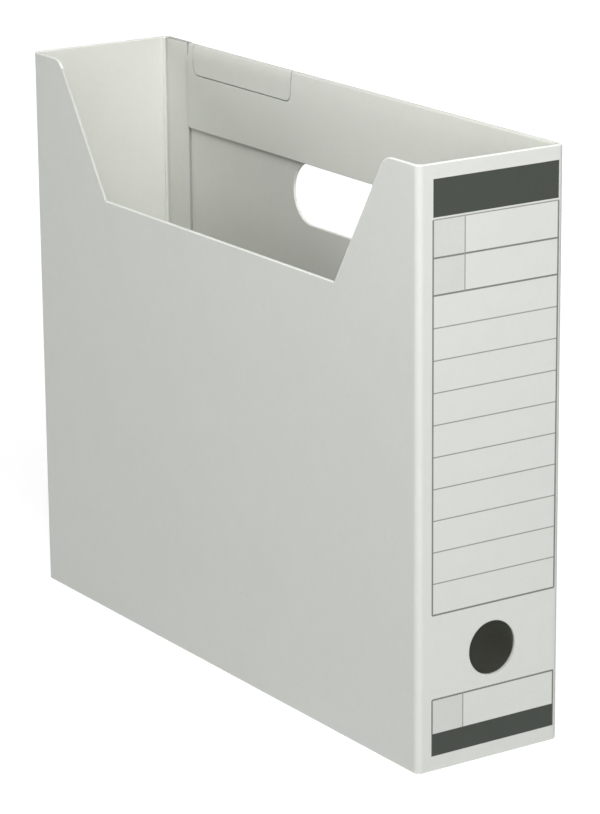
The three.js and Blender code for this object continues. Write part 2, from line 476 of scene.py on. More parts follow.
    def _mesh(
        self, places: Array, normals: Array, faces: list[list[int]], skins: list[int]
    ) -> bpy.types.Object:
        """Merges points that coincide, drops unused ones and writes the mesh with its normals.

        Args:
            places: points in mm.
            normals: one normal for each point.
            faces: lists of point numbers.
            skins: one skin for each face.

        Returns:
            The object.
        """
        _, first, merged = np.unique(
            np.round(places, PLACE_DIGITS), axis=0, return_index=True, return_inverse=True
        )
        merged = merged.ravel()
        kept_faces, kept_skins, corner_normals = [], [], []
        for face, skin in zip(faces, skins):
            ids = [int(merged[p]) for p in face]
            keep = [k for k in range(len(ids)) if ids[k] != ids[k - 1]]
            if len({ids[k] for k in keep}) < 3:
                continue
            kept_faces.append([ids[k] for k in keep])
            kept_skins.append(skin)
            corner_normals.extend(normals[face[k]] for k in keep)
        used, renumbered = np.unique(np.concatenate(kept_faces), return_inverse=True)
        ends = np.cumsum([len(face) for face in kept_faces])
        kept_faces = [part.tolist() for part in np.split(renumbered.ravel(), ends[:-1])]
        mesh = bpy.data.meshes.new(self.name)
        mesh.from_pydata((places[first][used] * MM).tolist(), [], kept_faces)
        mesh.polygons.foreach_set("material_index", np.array(kept_skins, np.int32))
        mesh.polygons.foreach_set("use_smooth", np.ones(len(kept_faces), bool))
        mesh.normals_split_custom_set([tuple(n) for n in corner_normals])
        mesh.update()
        piece = bpy.data.objects.new(self.name, mesh)
        bpy.context.scene.collection.objects.link(piece)
        return piece


# Places of the folded sheets


def crease_rows(bend: float, radius: float) -> Array:
    """Values of v at which a sheet turns, over a quarter circle that starts at bend."""
    return bend + radius * np.linspace(0, QUARTER, CREASE_STEPS + 1)[:-1]


def end_wall_place(near_flat: float, far_flat: float, facing: float, bead: float) -> Placing:
    """Folds an end wall round both of its upright corners.

    Between the two flat limits a point keeps its x and lies one depth behind the
    outer face. Beyond a limit it turns about the fold's centre by (distance past
    the limit) / FOLD_RADIUS, at FOLD_RADIUS - depth from that centre. On the inside
    the fold carries the soft bead that creasing raises: sin squared of twice the
    angle turned.

    Args:
        near_flat: x at which the flat part begins on the near side.
        far_flat: x at which it ends on the far side.
        facing: -1 for the spine and 1 for the back end.
        bead: height of the bead on the inside, mm.

    Returns:
        The placing function. u runs along +X on the spine and along -X on the back end.
    """

    def place(u: Array, v: Array, depth: Array) -> Array:
        """Folds flat places of the wall.

        Args:
            u: places along the sheet, mm.
            v: heights, mm.
            depth: depths below the outer face, mm.

        Returns:
            Places in mm.
        """
        x = u * -facing
        past = np.maximum(x - far_flat, 0) + np.minimum(x - near_flat, 0)
        turn = np.abs(past) / FOLD_RADIUS
        swell = np.sin(math.pi * np.clip(turn / QUARTER, 0, 1)) ** 2
        radius = FOLD_RADIUS - depth - bead * swell * depth / BOARD
        flat_x = np.clip(x, near_flat, far_flat)
        placed_x = flat_x + np.sign(past) * radius * np.sin(turn)
        placed_y = PANEL_END + radius * np.cos(turn)
        return np.stack([placed_x, facing * placed_y, v], axis=1)

    return place


def side_wall_place(outer: float, lean: Lean) -> Placing:
    """Stands a side wall on its outer face.

    Args:
        outer: x of the outer face, below 0 for the near side.
        lean: how far the wall leans in at (y, z), mm.

    Returns:
        The placing function. u runs along -Y on the near side and +Y on the far side.
    """
    facing = math.copysign(1.0, outer)

    def place(u: Array, v: Array, depth: Array) -> Array:
        """Stands up flat points of the wall."""
        y = u * facing
        return np.stack([outer - facing * (depth + lean(y, v)), y, v], axis=1)

    return place


# Finishes


class Nodes:
    """Adds nodes to a shader tree and links them."""

    def __init__(self, tree: bpy.types.NodeTree) -> None:
        """Works on the given tree."""
        self.tree = tree

    def feed(self, node: bpy.types.Node, inputs: dict[str | int, object]) -> None:
        """Sets or links the inputs of a node.

        Args:
            node: the node.
            inputs: input name or number to a value or to another node's output.
        """
        for key, value in inputs.items():
            if isinstance(value, bpy.types.NodeSocket):
                self.tree.links.new(value, node.inputs[key])
            else:
                node.inputs[key].default_value = value

    def add(
        self, kind: str, inputs: dict[str | int, object] | None = None, **settings: object
    ) -> bpy.types.Node:
        """Adds a node.

        Args:
            kind: the node's type, without its ShaderNode prefix.
            inputs: input name or number to a value or to another node's output.
            settings: the node's own properties.

        Returns:
            The node.
        """
        made = self.tree.nodes.new(f"ShaderNode{kind}")
        for key, value in settings.items():
            setattr(made, key, value)
        self.feed(made, inputs or {})
        return made

    def math(self, operation: str, *values: object) -> bpy.types.NodeSocket:
        """Adds a Math node and returns its output."""
        return self.add("Math", dict(enumerate(values)), operation=operation).outputs[0]

    def noise(self, vector: bpy.types.NodeSocket, scale: float, detail: float) -> bpy.types.NodeSocket:
        """Adds a noise that is centred on 0, and returns its output."""
        made = self.add("TexNoise", {"Vector": vector, "Scale": scale, "Detail": detail})
        return self.math("SUBTRACT", made.outputs["Fac"], 0.5)


@dataclass(frozen=True)
class FibrousBoard:
    """The node group that turns a flat colour into fibrous board.

    Attributes:
        name: name of the group.
        patches: scale and detail of the coarse mottling and of the fine one.
        across: scale of the noise across the fibres.
        along: scale of the noise along them.
        fibre_detail: detail of that noise.
        specks: scale of the noise whose peaks are specks.
        speck_range: heights of that noise at which a speck begins and is full.
        roughening: how far the fibres vary the roughness.
    """

    name: str = "fibrous_board"
    patches: tuple[tuple[float, float], ...] = ((18, 3), (90, 2))
    across: float = 900
    along: float = 260
    fibre_detail: float = 3
    specks: float = 420
    speck_range: tuple[float, float] = (0.70, 0.80)
    roughening: float = 0.12

    def group(self) -> bpy.types.NodeTree:
        """Builds the group once.

        Its tone is 1 plus mottling over centimetres, plus fibres of half a millimetre
        to four millimetres that lie three ways, less the specks.

        Returns:
            The node group.
        """
        ready = bpy.data.node_groups.get(self.name)
        if ready is not None:
            return ready
        tree = bpy.data.node_groups.new(self.name, "ShaderNodeTree")
        inputs = {"Vector": "Vector", "Color": "Color"}
        inputs.update(dict.fromkeys(("Mottle", "Fibre", "Speck", "Roughness"), "Float"))
        outputs = {"Color": "Color", "Roughness": "Float", "Height": "Float"}
        for way, sockets in (("INPUT", inputs), ("OUTPUT", outputs)):
            for name, kind in sockets.items():
                tree.interface.new_socket(name=name, in_out=way, socket_type=f"NodeSocket{kind}")
        nodes, entry = Nodes(tree), tree.nodes.new("NodeGroupInput").outputs
        place = entry["Vector"]
        broad = nodes.math("ADD", *(nodes.noise(place, *patch) for patch in self.patches))
        fibres = []
        for axis in (2, 0, 1):
            scale = [self.across] * 3
            scale[axis] = self.along
            scaled = nodes.add("Mapping", {"Vector": place, "Scale": scale})
            fibres.append(nodes.noise(scaled.outputs[0], 1, self.fibre_detail))
        fine = nodes.math("ADD", nodes.math("ADD", fibres[0], fibres[1]), fibres[2])
        peak = nodes.add("TexNoise", {"Vector": place, "Scale": self.specks, "Detail": 1})
        begin, full = self.speck_range
        cut_off = {"Value": peak.outputs["Fac"], "From Min": begin, "From Max": full}
        speck = nodes.add("MapRange", cut_off).outputs["Result"]
        tone = nodes.math("MULTIPLY_ADD", broad, entry["Mottle"], 1.0)
        tone = nodes.math("MULTIPLY_ADD", fine, entry["Fibre"], tone)
        tone = nodes.math("SUBTRACT", tone, nodes.math("MULTIPLY", speck, entry["Speck"]))
        colored = nodes.add("VectorMath", {0: entry["Color"], "Scale": tone}, operation="SCALE")
        rough = nodes.math("MULTIPLY_ADD", fine, self.roughening, entry["Roughness"])
        results = {"Color": colored.outputs[0], "Roughness": rough, "Height": fine}
        nodes.feed(tree.nodes.new("NodeGroupOutput"), results)
        return tree


def new_material(name: str) -> tuple[bpy.types.Material, Nodes, bpy.types.Node]:
    """Makes a node material.

    Args:
        name: name of the material.

    Returns:
        The material, its nodes and its Principled shader.
    """
    made = bpy.data.materials.new(name)
    made.use_nodes = True
    return made, Nodes(made.node_tree), made.node_tree.nodes["Principled BSDF"]


@dataclass(frozen=True)
class BoardFinish:
    """Grey recycled board: fine fibre, soft mottling and a few darker specks.

    Attributes:
        name: name of the material.
        color: colour of the board.
        mottle: how far large patches of the board vary.
        fibre: how far single fibres show.
        speck: how dark the specks are, below 0 where they are light.
        roughness: roughness of the surface.
        bump: height of the fibres, mm.
        relief: how strongly they turn the light.
        gloss: how much light the surface mirrors.
    """

    name: str
    color: tuple[float, float, float]
    mottle: float = 0.03
    fibre: float = 0.035
    speck: float = 0.04
    roughness: float = 0.86
    bump: float = 0.02
    relief: float = 0.35
    gloss: float = 0.3

    def material(self) -> bpy.types.Material:
        """Builds the material round the shared board group.

        Returns:
            The material.
        """
        made, nodes, shader = new_material(self.name)
        values = {
            "Vector": nodes.add("TexCoord").outputs["Object"], "Color": (*self.color, 1),
            "Mottle": self.mottle, "Fibre": self.fibre, "Speck": self.speck,
            "Roughness": self.roughness,
        }
        board = nodes.add("Group", node_tree=FibrousBoard().group())
        nodes.feed(board, values)
        bump = nodes.add("Bump", {
            "Strength": self.relief, "Distance": self.bump * MM, "Height": board.outputs["Height"],
        })
        nodes.feed(shader, {
            "Base Color": board.outputs["Color"], "Roughness": board.outputs["Roughness"],
            "Normal": bump.outputs["Normal"], "Specular IOR Level": self.gloss,
        })
        return made


@dataclass(frozen=True)
class CutFinish(BoardFinish):
    """A cut edge, whose loose fibres stand up and show more."""

    mottle: float = 0.02
    fibre: float = 0.10
    speck: float = 0.1
    bump: float = 0.08


@dataclass(frozen=True)
class InkFinish(BoardFinish):
    """Printing ink that has sunk into the board, so that its fibres show through as light ones."""

    mottle: float = 0.05
    fibre: float = 0.12
    speck: float = -0.12
    roughness: float = 0.7
    bump: float = 0.015
    relief: float = 0.3
    gloss: float = 0.2


FINISHES = {
    Skin.OUTSIDE: BoardFinish("board_outside", (0.596, 0.611, 0.577)),
    Skin.INSIDE: BoardFinish("board_inside", (0.640, 0.650, 0.605), mottle=0.04),
    # The cut edge colour is lighter than the faces: partly the board's own lighter core, partly a
    # painted highlight on edges that catch the light.
    Skin.CUT_EDGE: CutFinish("board_edge_core_and_highlight", (0.80, 0.81, 0.77)),
    # A darker copy of the cut edge colour for edges in shade: painted shade.
    Skin.SHADED_EDGE: CutFinish("board_edge_painted_shade", (0.46, 0.47, 0.44)),
    Skin.DARK_INK: InkFinish("ink_dark_band", (0.049, 0.056, 0.048)),
    Skin.LINE_INK: InkFinish("ink_ruled_line", (0.175, 0.18, 0.165)),
    Skin.THIN_INK: InkFinish("ink_thin_line", (0.275, 0.28, 0.262)),
    Skin.TINT_INK: InkFinish(
        "ink_light_tint", (0.545, 0.56, 0.53), fibre=0.05, speck=-0.05, roughness=0.82
    ),
    Skin.HEM_FACE: BoardFinish("board_hem", (0.642, 0.655, 0.606), mottle=0.04),
    # The darkest copy of the cut edge colour: painted shade for the dark line along the glue flap's
    # free edge.
    Skin.DEEP_EDGE: CutFinish("board_edge_painted_dark_shade", (0.31, 0.315, 0.295)),
    # A darker copy of the cut edge colour for the back slope of the cut-out: painted shade.
    Skin.SLANTED_EDGE: CutFinish("board_edge_painted_slope_shade", (0.55, 0.555, 0.52)),
}


@dataclass
class Bench:
    """Where finished sheets are dressed and fixed to the bodies of the frame.

    Attributes:
        materials: every finish of the box, in the slot order of Skin.
        pieces: the pieces fixed so far.
    """

    materials: list[bpy.types.Material] = field(
        default_factory=lambda: [FINISHES[skin].material() for skin in Skin]
    )
    pieces: list[bpy.types.Object] = field(default_factory=list)

    def fit(self, sheet: BoardSheet, node: str, body: str) -> None:
        """Builds a sheet, dresses it and lets it stand for a node.

        Args:
            sheet: the sheet.
            node: the node that it stands for.
            body: the body that it rides on.
        """
        piece = sheet.build()
        for made in self.materials:
            piece.data.materials.append(made)
        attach(piece, body)
        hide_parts(node)
        self.pieces.append(piece)
        log.info("%s: %d faces on %s", piece.name, len(piece.data.polygons), body)


# The printed form of the spine


@dataclass(frozen=True)
class PrintedBox:
    """One printed rectangle, in x and z on the spine's outer face."""

    left: float
    right: float
    low: float
    high: float
    skin: Skin


@dataclass
class SpinePrint:
    """The ruled form on the spine: two dark bands, a ruled frame and a small label box.

    left, right and column are values of x, the last one of the divider of the small
    cells. line and heavy are widths, rows is the number of writing rows, and the other
    values are heights: of a line, or of the two edges of a band or box.
    """

    left: float = -29.8
    right: float = 34.4
    column: float = -13.7
    line: float = 0.56
    heavy: float = 0.8
    header: tuple[float, float] = (241.4, 257.5)
    frame_top: float = 240.4
    head_rules: tuple[float, float] = (224.4, 208.6)
    frame_bottom: float = 70.1
    rows: int = 10
    label: tuple[float, float] = (6.7, 32.2)
    label_band: tuple[float, float] = (6.7, 16.8)

    def _ink(self, thick: float) -> Skin:
        """Thin lines are printed lighter than heavy ones."""
        return Skin.LINE_INK if thick > self.line else Skin.THIN_INK

    def _rule(self, z: float, thick: float) -> PrintedBox:
        """A level line across the form."""
        return PrintedBox(self.left, self.right, z - thick / 2, z + thick / 2, self._ink(thick))

    def _post(self, x: float, low: float, high: float, thick: float) -> PrintedBox:
        """An upright line."""
        return PrintedBox(x - thick / 2, x + thick / 2, low, high, self._ink(thick))

    def boxes(self) -> list[PrintedBox]:
        """Lists every printed rectangle.

        Returns:
            The rectangles, the ones on top last.
        """
        first, second = self.head_rules
        band_top, label_top = self.label_band[1], self.label[1]
        ends = (self.left, self.right)
        pitch = (second - self.frame_bottom) / self.rows
        return [
            PrintedBox(self.left, self.column, second, self.frame_top, Skin.TINT_INK),
            PrintedBox(self.left, self.column, band_top, label_top, Skin.TINT_INK),
            self._rule(self.frame_top, self.line),
            *(self._rule(z, self.heavy) for z in (first, second, self.frame_bottom)),
            *(self._rule(second - pitch * k, self.line) for k in range(1, self.rows)),
            *(self._post(x, self.frame_bottom, self.frame_top, self.heavy) for x in ends),
            self._post(self.column, second, self.frame_top, self.line),
            self._rule(label_top, self.heavy),
            *(self._post(x, *self.label, self.heavy) for x in ends),
            self._post(self.column, band_top, label_top, self.line),
            PrintedBox(*ends, *self.header, Skin.DARK_INK),
            PrintedBox(*ends, *self.label_band, Skin.DARK_INK),
        ]

    def seams(self) -> Array:
        """Lists the sides of the printed rectangles.

        Returns:
            Pairs of flat places, four pairs for each rectangle.
        """
        sides = []
        for box in self.boxes():
            a, b = (box.left, box.low), (box.right, box.low)
            c, d = (box.right, box.high), (box.left, box.high)
            sides.extend([(a, b), (b, c), (c, d), (d, a)])
        return single(np.array(sides))

    def marking(self, middles: Array) -> Array:
        """Gives each triangle the skin of the last rectangle that holds its middle.

        Args:
            middles: n flat places.

        Returns:
            n skins.
        """
        skins = np.full(len(middles), int(Skin.OUTSIDE))
        for box in self.boxes():
            across = (middles[:, 0] > box.left) & (middles[:, 0] < box.right)
            up = (middles[:, 1] > box.low) & (middles[:, 1] < box.high)
            skins[across & up] = int(box.skin)
        return skins


# The upright walls


@dataclass
class Sleeve:
    """The four upright walls and the glue flap, all on the body that stands still.

    A rounding is the width over which a cut edge is crushed.

    Attributes:
        cut_front: distances from the spine to the top and the foot of the front slope.
        cut_back: the same from the back end to the back slope.
        near_lean: how far the middle of the near side would lean in at full height, mm.
            The cut-out ends it at six tenths of that.
        finger_hole: x, z and radius of the hole in the spine.
        hand_hole_height: z of the hand hole's middle.
        flap_bow: bulge that the glue flap starts into, over flap_bow_reach from its fold,
            mm. It runs down to the free edge at once, and so reaches three quarters of it.
        hem_front: y of the hem's front end.
        fold_relief: width of the relief cut into the hem's back end at its fold, mm.
        end_slit: width of the slit that frees the stretch that turns in to the hem, mm.
        inside_bead: height of the bead inside the upright folds, mm.
    """

    cut_depth: float = 60.8
    cut_front: tuple[float, float] = (24.0, 61.2)
    cut_back: tuple[float, float] = (24.5, 64.6)
    shoulder_radius: float = 9.0
    notch_radius: float = 0.6
    near_lean: float = 0.45
    finger_hole: tuple[float, float, float] = (1.6, 49.5, 12.0)
    hole_rounding: float = 0.25
    hand_hole_length: float = 90.0
    hand_hole_radius: float = 14.7
    hand_hole_height: float = 208.0
    glue_flap_width: float = 19.8
    flap_corner_radius: float = 1.0
    flap_rounding: float = 0.2
    flap_bow: float = 1.3
    flap_bow_reach: float = 1.6
    hem_front: float = 4.0 - HALF_LENGTH
    hem_gap_to_flap: float = 0.2
    fold_relief: float = 0.5
    end_slit: float = 0.15
    inside_bead: float = 0.7
    rounding: float = 0.48
    form: SpinePrint = field(default_factory=SpinePrint)

    @property
    def fold_back(self) -> float:
        """y at which the fold into the hem ends."""
        return PANEL_END - self.glue_flap_width - self.hem_gap_to_flap - self.fold_relief

    def _end_wall(
        self, name: str, near_flat: float, far_flat: float, facing: float, *holes: Loop
    ) -> BoardSheet:
        """Cuts an end wall with a fold at each end.

        Args:
            name: name of the piece.
            near_flat: x at which the flat part begins on the near side.
            far_flat: x at which it ends on the far side.
            facing: -1 for the spine and 1 for the back end.
            holes: holes in the wall.

        Returns:
            The sheet.
        """
        low, high = (near_flat, far_flat) if facing < 0 else (-far_flat, -near_flat)
        reach = QUARTER * FOLD_RADIUS
        outline = [
            Corner(low - reach, 0), Corner(high + reach, 0, border=Border.JOINED),
            Corner(high + reach, HEIGHT), Corner(low - reach, HEIGHT, border=Border.JOINED),
        ]
        steps = np.linspace(0, reach, FOLD_STEPS + 1)[:-1]
        return BoardSheet(
            name,
            [Loop.from_corners(outline, self.rounding), *holes],
            end_wall_place(near_flat, far_flat, facing, self.inside_bead),
            columns=np.concatenate([high + steps, low - steps]),
        )

    def spine(self) -> BoardSheet:
        """Cuts the narrow front wall with the printed form and the finger hole.

        Returns:
            The sheet.
        """
        flat = HALF_WIDTH - FOLD_RADIUS
        hole = Loop.circle(*self.finger_hole, self.hole_rounding)
        wall = self._end_wall("spine_board", -flat, flat, -1, hole)
        return replace(wall, seams=self.form.seams(), marking=self.form.marking)

    def back_end(self) -> BoardSheet:
        """The narrow rear wall, its far fold tucked inside the far side."""
        far_flat = FAR_INNER - GLUE_LINE - FOLD_RADIUS
        return self._end_wall("back_end_board", FOLD_RADIUS - HALF_WIDTH, far_flat, 1)

    def near_side(self) -> BoardSheet:
        """Cuts the flat wall with the low cut-out between two rounded shoulders.

        Returns:
            The sheet.
        """
        low = HEIGHT - self.cut_depth
        outline = [
            Corner(-PANEL_END, 0), Corner(PANEL_END, 0, border=Border.JOINED),
            Corner(PANEL_END, HEIGHT),
            Corner(HALF_LENGTH - self.cut_front[0], HEIGHT, self.shoulder_radius),
            Corner(HALF_LENGTH - self.cut_front[1], low, self.notch_radius),
            # The back slope's cut edge takes a darker copy of the cut edge colour: painted shade, so
            # that this slope, which faces the lamps, shows no lighter than the top edges.
            Corner(
                self.cut_back[1] - HALF_LENGTH, low, self.notch_radius, skin=Skin.SLANTED_EDGE
            ),
            Corner(self.cut_back[0] - HALF_LENGTH, HEIGHT, self.shoulder_radius),
            Corner(-PANEL_END, HEIGHT, border=Border.JOINED),
        ]

        def lean(y: Array, z: Array) -> Array:
            """The unheld top of the wall leans in, by half a sine along it."""
            along = np.cos(np.clip(y / PANEL_END, -1, 1) * QUARTER)
            return self.near_lean * along * np.clip(z / HEIGHT, 0, 1) ** 2

        loop = Loop.from_corners(outline, self.rounding, steps=10)
        return BoardSheet("near_side_board", [loop], side_wall_place(-HALF_WIDTH, lean))

    def far_side(self) -> BoardSheet:
        """Cuts the tall flat wall with the hand hole, its top turned in to meet the hem.

        Returns:
            The sheet.
        """
        foot = BOARD + CREASE_GAP / 2
        radius = BOARD + CREASE_GAP
        bend = HEIGHT - radius
        top = bend + radius * QUARTER
        front, back, slit = self.hem_front, self.fold_back, self.end_slit
        outline = [
            Corner(-PANEL_END, foot), Corner(PANEL_END, foot, border=Border.JOINED),
            # The top stretch behind the glue flap takes the darker cut edge colour: painted shade.
            Corner(PANEL_END, HEIGHT, skin=Skin.SHADED_EDGE),
            Corner(back + slit, HEIGHT, 0), Corner(back + slit, bend, 0),
            Corner(back, bend, 0), Corner(back, top, 0, Border.JOINED),
            Corner(front, top, 0), Corner(front, bend, 0),
            Corner(front - slit, bend, 0), Corner(front - slit, HEIGHT, 0),
            Corner(-PANEL_END, HEIGHT, border=Border.JOINED),
        ]
        # The two arcs of a round end stop this far short of meeting, mm
        hair = 0.01
        arc = self.hand_hole_radius - hair
        reach = self.hand_hole_length / 2
        low = self.hand_hole_height - self.hand_hole_radius
        high = self.hand_hole_height + self.hand_hole_radius
        places = ((-reach, low), (-reach, high), (reach, high), (reach, low))
        # The hand hole's cut edge keeps the light cut edge colour, which is partly a painted
        # highlight.
        hole = [Corner(u, v, arc) for u, v in places]

        def place(u: Array, v: Array, depth: Array) -> Array:
            """Above the bend the hem's stretch turns in, about a line inside the wall.

            Args:
                u: places along the sheet, mm.
                v: places up the sheet, mm.
                depth: depths below the outer face, mm.

            Returns:
                Places in mm.
            """
            folds = (u > front - slit / 2) & (u < back + slit / 2)
            turn = np.where(folds, np.clip((v - bend) / radius, 0, QUARTER), 0)
            arm_length = radius - depth
            x = HALF_WIDTH - radius + arm_length * np.cos(turn)
            z = np.where(folds, np.minimum(v, bend) + arm_length * np.sin(turn), v)
            return np.stack([x, u, z], axis=1)

        loops = [
            Loop.from_corners(outline, self.rounding),
            Loop.from_corners(hole, self.rounding, steps=16),
        ]
        return BoardSheet("far_side_board", loops, place, rows=crease_rows(bend, radius))

    def glue_flap(self) -> BoardSheet:
        """Cuts the strip that turns in from the back end and is glued to the far side.

        Returns:
            The sheet.
        """
        width = self.glue_flap_width
        start = PANEL_END - width
        outline = [
            Corner(start, FLAP_FOOT, self.flap_corner_radius),
            Corner(PANEL_END, FLAP_FOOT, border=Border.JOINED),
            # The flap's top edge takes the darker cut edge colour: painted shade.
            Corner(PANEL_END, HEIGHT, skin=Skin.SHADED_EDGE),
            # The flap's free edge takes the darkest cut edge colour: painted shade for the dark line
            # along it.
            Corner(start, HEIGHT, self.flap_corner_radius, skin=Skin.DEEP_EDGE),
        ]

        def lean(y: Array, z: Array) -> Array:
            """The flap bulges next to its fold, by 1 - e^-s, and runs down to its free edge."""
            grown = 1 - np.exp(-np.clip(PANEL_END - y, 0, None) / self.flap_bow_reach)
            return self.flap_bow * grown * np.clip(1 - (PANEL_END - y) / width, 0, 1)

        # Shares of the width, from the fold on, at which the bow gets a line of points
        bends = np.linspace(0.04, 0.9, 12)
        return BoardSheet(
            "glue_flap_board",
            [Loop.from_corners(outline, self.flap_rounding)],
            side_wall_place(FAR_INNER - GLUE_LINE, lean),
            columns=PANEL_END - width * bends,
        )

    def assemble(self, bench: Bench) -> None:
        """Fits the five sheets that stand still.

        Args:
            bench: where they are fixed.
        """
        bench.fit(self.spine(), "spine_panel", "box")
        bench.fit(self.near_side(), "near_side_panel", "box")
        bench.fit(self.far_side(), "far_side_panel", "box")
        bench.fit(self.back_end(), "back_end_panel", "box")
        bench.fit(self.glue_flap(), "glue_flap", "box")


# The hem


@dataclass
class HemAssembly:
    """The hem that hangs inside the far side, and the tab that is cut into it.

    Depths count from the top of the box down.

    Attributes:
        slit: width of the slit round the tab, mm.
        gap: gap between the hem and the wall at the crease, mm.
        back_stand_off: how far the hem's back end stands off the wall, mm.
        front_stand_off: how far its front half stands off, mm.
        stand_off_reach: y at which the stand-off starts to grow, to be full at y = 0.
        spring: drop over which the stand-off springs up below the crease, mm.
        relief: width of the relief cut into the hem's back end at its fold, mm.
        front: y of the hem's front end.
        back: y of its back end.
        spacing: distance between the points inside the hem, mm; tab_spacing inside the tab.
        bend_steps: steps that the quarter circle of the crease is divided into.
    """

    depth: float = 41.5
    corner_radius: float = 2.5
    tab_length: float = 85.0
    tab_depth: float = 14.5
    tab_back_margin: float = 5.6
    tab_radius: float = 4.0
    slit: float = 0.35
    gap: float = 0.2
    back_stand_off: float = 0.45
    front_stand_off: float = 1.1
    stand_off_reach: float = 80.0
    spring: float = 4.5
    tab_bulge: float = 0.35
    relief: float = Sleeve.fold_relief
    relief_depth: float = 5.5
    relief_radius: float = 0.2
    front: float = Sleeve.hem_front
    back: float = PANEL_END - Sleeve.glue_flap_width - Sleeve.hem_gap_to_flap
    rounding: float = 0.18
    spacing: float = 6.0
    tab_spacing: float = 2.5
    bend_steps: int = 8

    @property
    def bend_radius(self) -> float:
        """Radius of the outer face round the crease."""
        return BOARD + self.gap / 2

    def _hem_lean(self, y: Array, drop: Array) -> Array:
        """Gives how far the hem springs away from the wall.

        It leans most just below the crease and hangs straighter lower down, as
        1 - exp(-drop / spring). Along the box the lean grows by 3 s squared - 2 s cubed,
        s being the share of the way from stand_off_reach to y = 0.

        Args:
            y: places along the box, mm.
            drop: distances below the bend, mm.

        Returns:
            Distances from the wall, mm.
        """
        share = np.clip((self.stand_off_reach - y) / self.stand_off_reach, 0, 1)
        share = share * share * (3 - 2 * share)
        reach = self.back_stand_off + (self.front_stand_off - self.back_stand_off) * share
        grown = (1 - np.exp(-drop / self.spring)) / (1 - math.exp(-self.depth / self.spring))
        return reach * grown

    def _tab_lean(self, y: Array, drop: Array) -> Array:
        """Adds the tab's shallow bulge, t (1 - t) to the fourth over its drop t of 0 to 1.

        Args:
            y: places along the box, mm.
            drop: distances below the bend, mm.

        Returns:
            Distances from the wall, mm.
        """
        to_full_height = 12.2
        share = np.clip(drop / (self.tab_depth - BOARD), 0, 1)
        bulge = self.tab_bulge * to_full_height * share * (1 - share) ** 4
        return self._hem_lean(y, drop) + bulge

    def _place(self, lean: Lean) -> Placing:
        """Folds a sheet down from the crease.

        v is counted down from the fold's end, so it is negative on the hanging part.
        Above the bend the sheet turns through a quarter circle to meet the wall's
        own quarter.

        Args:
            lean: how far the hanging part stands off the wall at (y, drop).

        Returns:
            The placing function.
        """
        hinge, radius = FAR_INNER - self.gap / 2, self.bend_radius

        def place(u: Array, v: Array, depth: Array) -> Array:
            """Places flat points of the sheet; its outer face is the one that shows.

            Args:
                u: places along the sheet, towards the spine, mm.
                v: places up the sheet, mm.
                depth: depths below the outer face, mm.

            Returns:
                Places in mm.
            """
            drop = np.clip(-v - radius * QUARTER, 0, None)
            turn = np.clip(-v / radius, 0, QUARTER)
            arm_length = radius - depth
            x = hinge - arm_length * np.sin(turn) - lean(-u, drop)
            z = HEIGHT - radius + arm_length * np.cos(turn) - drop
            return np.stack([x, -u, z], axis=1)

        return place

    def _flat(self, drop: float) -> float:
        """v on the flat sheet of a point that hangs drop below the top."""
        return -(self.bend_radius * QUARTER + drop - self.bend_radius)

    def _sheet(self, name: str, outline: list[Corner], lean: Lean, spacing: float) -> BoardSheet:
        """Cuts a sheet that is bent round the crease and hangs from it.

        Args:
            name: name of the piece.
            outline: its corners on the flat sheet.
            lean: how far it stands off the wall at (y, drop).
            spacing: distance between the points inside the sheet, mm.

        Returns:
            The sheet.
        """
        # Every cut edge of the hem and the tab takes the darker cut edge colour: painted shade.
        painted_shade_corners = [replace(corner, skin=Skin.SHADED_EDGE) for corner in outline]
        rows = -self.bend_radius * np.linspace(0, QUARTER, self.bend_steps + 1)[1:]
        return BoardSheet(
            name, [Loop.from_corners(painted_shade_corners, self.rounding)], self._place(lean), rows=rows,
            marking=self._marking, spacing=spacing,
        )

    @staticmethod
    def _marking(middles: Array) -> Array:
        """Gives every triangle of the showing face the hem's finish."""
        return np.full(len(middles), int(Skin.HEM_FACE))

    def hem(self) -> BoardSheet:
        """Cuts the hem, with the U-shaped slit round the tab.

        Returns:
            The sheet.
        """
        low, slit_low = self._flat(self.depth), self._flat(self.tab_depth + self.slit)
        tab_back = -(self.back - self.tab_back_margin) - self.slit
        tab_front = tab_back + self.tab_length + 2 * self.slit
        slit_radius, relief_end = self.tab_radius + self.slit, -self.back + self.relief
        outline = [
            Corner(-self.back, low, self.corner_radius),
            Corner(-self.front, low, self.corner_radius),
            Corner(-self.front, 0, 0, Border.JOINED), Corner(tab_front, 0, 0),
            Corner(tab_front, slit_low, slit_radius), Corner(tab_back, slit_low, slit_radius),
            Corner(tab_back, 0, 0, Border.JOINED), Corner(relief_end, 0, 0),
            Corner(relief_end, self._flat(self.relief_depth), self.relief_radius),
            Corner(-self.back, self._flat(self.relief_depth + self.relief), self.relief_radius),
        ]
        return self._sheet("hem_board", outline, self._hem_lean, self.spacing)

    def tab(self) -> BoardSheet:
        """Cuts the tab inside the slit.

        Returns:
            The sheet.
        """
        low = self._flat(self.tab_depth)
        back = -(self.back - self.tab_back_margin)
        front = back + self.tab_length
        outline = [
            Corner(back, low, self.tab_radius), Corner(front, low, self.tab_radius),
            Corner(front, 0, 0, Border.JOINED), Corner(back, 0, 0),
        ]
        return self._sheet("hem_tab_board", outline, self._tab_lean, self.tab_spacing)

    def assemble(self, bench: Bench) -> None:
        """Fits the hem and the tab."""
        bench.fit(self.hem(), "top_hem", "hem")
        bench.fit(self.tab(), "hem_tab", "tab")


# The bottom


